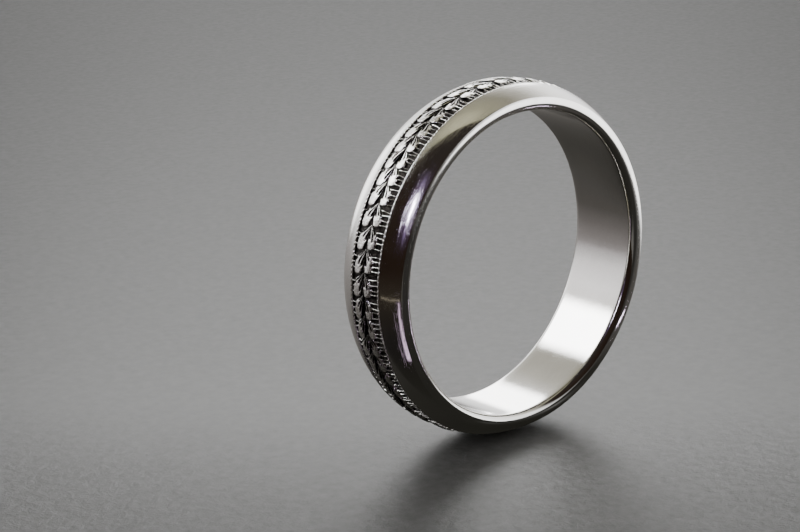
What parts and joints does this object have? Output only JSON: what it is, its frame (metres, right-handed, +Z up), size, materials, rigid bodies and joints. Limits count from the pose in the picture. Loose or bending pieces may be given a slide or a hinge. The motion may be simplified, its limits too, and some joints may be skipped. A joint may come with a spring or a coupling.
{
  "type": "wedding band",
  "caption": "Half-round white-metal wedding band: inner sleeve, two polished rails, fine border wires and a middle band engraved with a leaf wreath between rows of pits.",
  "frame": {"origin": "centre of the finger hole, half way along it", "axes": "+Y along the finger axis, from the front side face to the back side face; +Z up, with the ring standing on its rim; +X completes the right-handed frame"},
  "size_m": [0.0204, 0.0046, 0.0204],
  "materials": {
    "sleeve_metal": "polished white precious metal, lightly worn inside",
    "rail_metal": "mirror-polished white precious metal with fine wear scratches",
    "engraved_metal": "bright-cut hand engraving with darkened recesses",
    "wire_metal": "polished wire"
  },
  "bodies": {
    "root": {"inner_sleeve": "sleeve_metal", "front_rail": "rail_metal", "back_rail": "rail_metal", "engraved_centre_band": "engraved_metal", "front_border_wire": "wire_metal", "back_border_wire": "wire_metal"}
  },
  "joints": []
}
